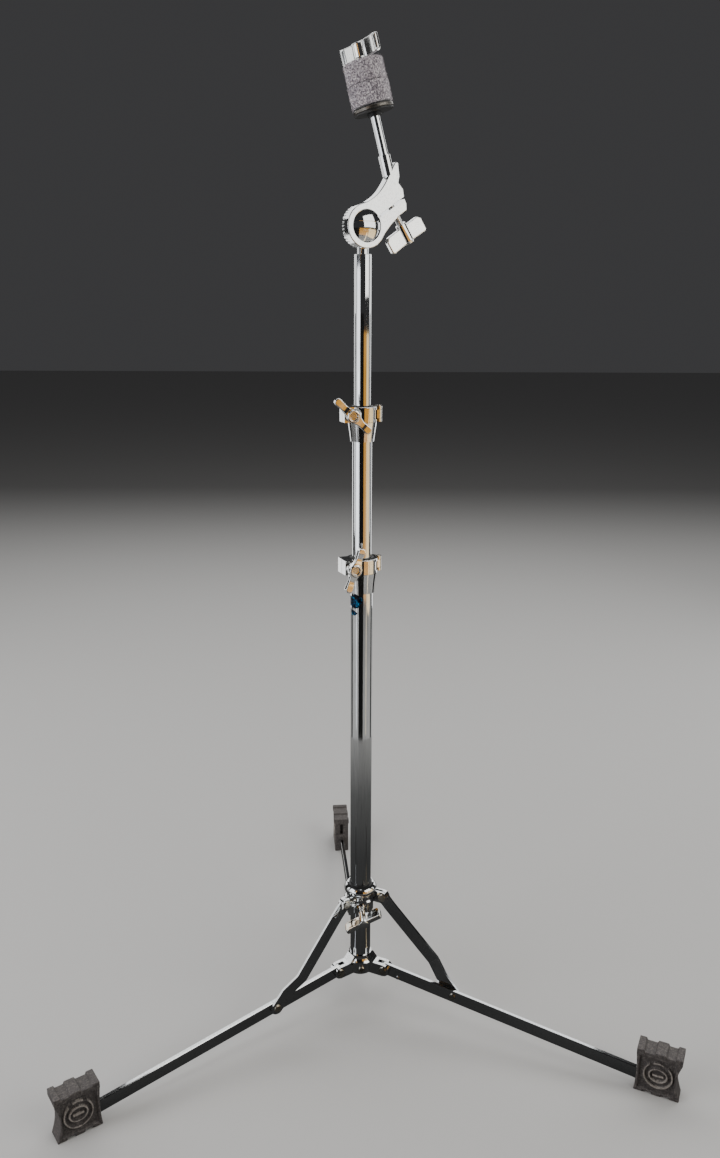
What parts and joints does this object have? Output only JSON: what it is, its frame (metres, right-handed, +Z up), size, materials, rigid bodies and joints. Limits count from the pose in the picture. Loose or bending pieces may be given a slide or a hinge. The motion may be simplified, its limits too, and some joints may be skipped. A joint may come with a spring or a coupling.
{
  "type": "cymbal stand",
  "caption": "Flat-base straight cymbal stand: folding tripod of flat legs and struts, telescoping chrome tubes with hinged clamps, and a tilting rod with felts and a wing nut.",
  "frame": {"origin": "on the main tube's axis at floor level, in the plane of the soles", "axes": "+Z up along the main tube; -Y is the side that the clamps' wing nuts face"},
  "size_m": [0.6123, 0.5571, 0.9664],
  "materials": {
    "tube_chrome": "bright chrome plate on drawn tube",
    "cast_chrome": "chrome plate on zinc casting",
    "strip_chrome": "chrome plate on pressed steel strip",
    "wing_chrome": "chrome plate on small castings",
    "fastener_steel": "bright zinc plate",
    "foot_rubber": "matt moulded",
    "felt": "pressed wool felt",
    "black_nylon": "moulded nylon"
  },
  "bodies": {
    "base": {"base_tube": "tube_chrome", "hub": "cast_chrome", "hub_screw": "fastener_steel", "hub_rivets": "fastener_steel", "lower_clamp": "cast_chrome", "lower_hinge_pin": "fastener_steel", "lower_clamp_bolt": "fastener_steel"},
    "collar": {"collar": "cast_chrome", "collar_liner": "black_nylon", "collar_rivets": "fastener_steel"},
    "collar_screw": {"collar_wing_screw": "wing_chrome"},
    "leg_left": {"leg_left": "strip_chrome", "foot_left": "foot_rubber", "leg_rivet_left": "fastener_steel"},
    "strut_left": {"strut_left": "strip_chrome", "strut_rivet_left": "fastener_steel"},
    "leg_right": {"leg_right": "strip_chrome", "foot_right": "foot_rubber", "leg_rivet_right": "fastener_steel"},
    "strut_right": {"strut_right": "strip_chrome", "strut_rivet_right": "fastener_steel"},
    "leg_rear": {"leg_rear": "strip_chrome", "foot_rear": "foot_rubber", "leg_rivet_rear": "fastener_steel"},
    "strut_rear": {"strut_rear": "strip_chrome", "strut_rivet_rear": "fastener_steel"},
    "lower_gate": {"lower_gate": "cast_chrome"},
    "lower_washer": {"lower_washer": "fastener_steel"},
    "lower_nut": {"lower_wing_nut": "wing_chrome"},
    "lower_bushing": {"lower_bushing": "black_nylon"},
    "middle": {"middle_tube": "tube_chrome", "upper_clamp": "cast_chrome", "upper_hinge_pin": "fastener_steel", "upper_clamp_bolt": "fastener_steel"},
    "upper_gate": {"upper_gate": "cast_chrome"},
    "upper_washer": {"upper_washer": "fastener_steel"},
    "upper_nut": {"upper_wing_nut": "wing_chrome"},
    "upper_bushing": {"upper_bushing": "black_nylon"},
    "top": {"top_tube": "tube_chrome", "tilter_base": "cast_chrome", "tilter_cap": "cast_chrome"},
    "tilter": {"tilter_arm": "cast_chrome", "cymbal_rod": "fastener_steel", "seat_cup": "black_nylon", "seat_washer": "fastener_steel", "rod_sleeve": "black_nylon", "lower_felt": "felt", "upper_felt": "felt"},
    "tilter_screw": {"tilter_wing_screw": "wing_chrome"},
    "top_nut": {"top_wing_nut": "wing_chrome"}
  },
  "joints": [
    {"name": "collar_slide", "type": "slide", "parent": "base", "child": "collar", "axis": [0, 0, 1], "range_m": [0, 0.12217]},
    {"name": "collar_screw_turn", "type": "hinge", "parent": "collar", "child": "collar_screw", "pos_m": [0.00174, -0.01992, 0.122], "axis": [0.0872, -0.9962, 0], "continuous": true},
    {"name": "leg_left_fold", "type": "hinge", "parent": "base", "child": "leg_left", "pos_m": [-0.02457, -0.01721, 0.0455], "axis": [-0.5736, 0.8192, 0], "range_deg": [0, 92.1]},
    {"name": "strut_left_fold", "type": "hinge", "parent": "collar", "child": "strut_left", "pos_m": [-0.0199, -0.01394, 0.1314], "axis": [-0.5736, 0.8192, 0], "range_deg": [-36.76, 0]},
    {"name": "leg_right_fold", "type": "hinge", "parent": "base", "child": "leg_right", "pos_m": [0.02719, -0.01268, 0.0455], "axis": [-0.4226, -0.9063, 0], "range_deg": [0, 92.1]},
    {"name": "strut_right_fold", "type": "hinge", "parent": "collar", "child": "strut_right", "pos_m": [0.02202, -0.01027, 0.1314], "axis": [-0.4226, -0.9063, 0], "range_deg": [-36.76, 0]},
    {"name": "leg_rear_fold", "type": "hinge", "parent": "base", "child": "leg_rear", "pos_m": [-0.00262, 0.02989, 0.0455], "axis": [0.9962, 0.0872, 0], "range_deg": [0, 92.1]},
    {"name": "strut_rear_fold", "type": "hinge", "parent": "collar", "child": "strut_rear", "pos_m": [-0.00212, 0.02421, 0.1314], "axis": [0.9962, 0.0872, 0], "range_deg": [-36.76, 0]},
    {"name": "lower_washer_slide", "type": "slide", "parent": "base", "child": "lower_washer", "axis": [0.3907, -0.9205, 0], "range_m": [0, 0.002]},
    {"name": "lower_nut_turn", "type": "hinge", "parent": "lower_washer", "child": "lower_nut", "pos_m": [-0.00995, -0.01617, 0.50425], "axis": [0.3907, -0.9205, 0], "range_deg": [0, 720]},
    {"name": "lower_gate_swing", "type": "hinge", "parent": "base", "child": "lower_gate", "pos_m": [0.0159, 0.00675, 0.50425], "axis": [0, 0, 1], "range_deg": [0, 2.91]},
    {"name": "middle_swivel", "type": "hinge", "parent": "base", "child": "lower_bushing", "pos_m": [0, 0, 0.504], "axis": [0, 0, 1], "continuous": true},
    {"name": "middle_slide", "type": "slide", "parent": "lower_bushing", "child": "middle", "axis": [0, 0, 1], "range_m": [-0.1, 0.24]},
    {"name": "upper_washer_slide", "type": "slide", "parent": "middle", "child": "upper_washer", "axis": [0.2588, -0.9659, 0], "range_m": [0, 0.002]},
    {"name": "upper_nut_turn", "type": "hinge", "parent": "upper_washer", "child": "upper_nut", "pos_m": [-0.01057, -0.01422, 0.65025], "axis": [0.2588, -0.9659, 0], "range_deg": [0, 720]},
    {"name": "upper_gate_swing", "type": "hinge", "parent": "middle", "child": "upper_gate", "pos_m": [0.01516, 0.00406, 0.65025], "axis": [0, 0, 1], "range_deg": [0, 2.91]},
    {"name": "top_swivel", "type": "hinge", "parent": "middle", "child": "upper_bushing", "pos_m": [0, 0, 0.65], "axis": [0, 0, 1], "continuous": true},
    {"name": "top_slide", "type": "slide", "parent": "upper_bushing", "child": "top", "axis": [0, 0, 1], "range_m": [-0.115, 0.2]},
    {"name": "tilter_tilt", "type": "hinge", "parent": "top", "child": "tilter", "pos_m": [0, 0, 0.815], "axis": [0.454, -0.891, 0], "range_deg": [-30, 120]},
    {"name": "tilter_screw_turn", "type": "hinge", "parent": "tilter", "child": "tilter_screw", "pos_m": [0.03025, 0.01182, 0.82327], "axis": [0.4931, 0.2512, -0.8329], "continuous": true},
    {"name": "top_nut_turn", "type": "hinge", "parent": "tilter", "child": "top_nut", "pos_m": [-0.00334, 0.00515, 0.95616], "axis": [-0.2543, -0.0318, 0.9666], "continuous": true}
  ],
  "couplings": [
    {"joint": "leg_left_fold", "follows": "collar_slide", "rad_per_m": 13.143},
    {"joint": "strut_left_fold", "follows": "collar_slide", "rad_per_m": -5.237},
    {"joint": "leg_right_fold", "follows": "collar_slide", "rad_per_m": 13.143},
    {"joint": "strut_right_fold", "follows": "collar_slide", "rad_per_m": -5.237},
    {"joint": "leg_rear_fold", "follows": "collar_slide", "rad_per_m": 13.143},
    {"joint": "strut_rear_fold", "follows": "collar_slide", "rad_per_m": -5.237},
    {"joint": "lower_washer_slide", "follows": "lower_nut_turn", "m_per_rad": 0.00015915},
    {"joint": "lower_gate_swing", "follows": "lower_nut_turn", "ratio": 0.0040278},
    {"joint": "upper_washer_slide", "follows": "upper_nut_turn", "m_per_rad": 0.00015915},
    {"joint": "upper_gate_swing", "follows": "upper_nut_turn", "ratio": 0.0040278}
  ]
}
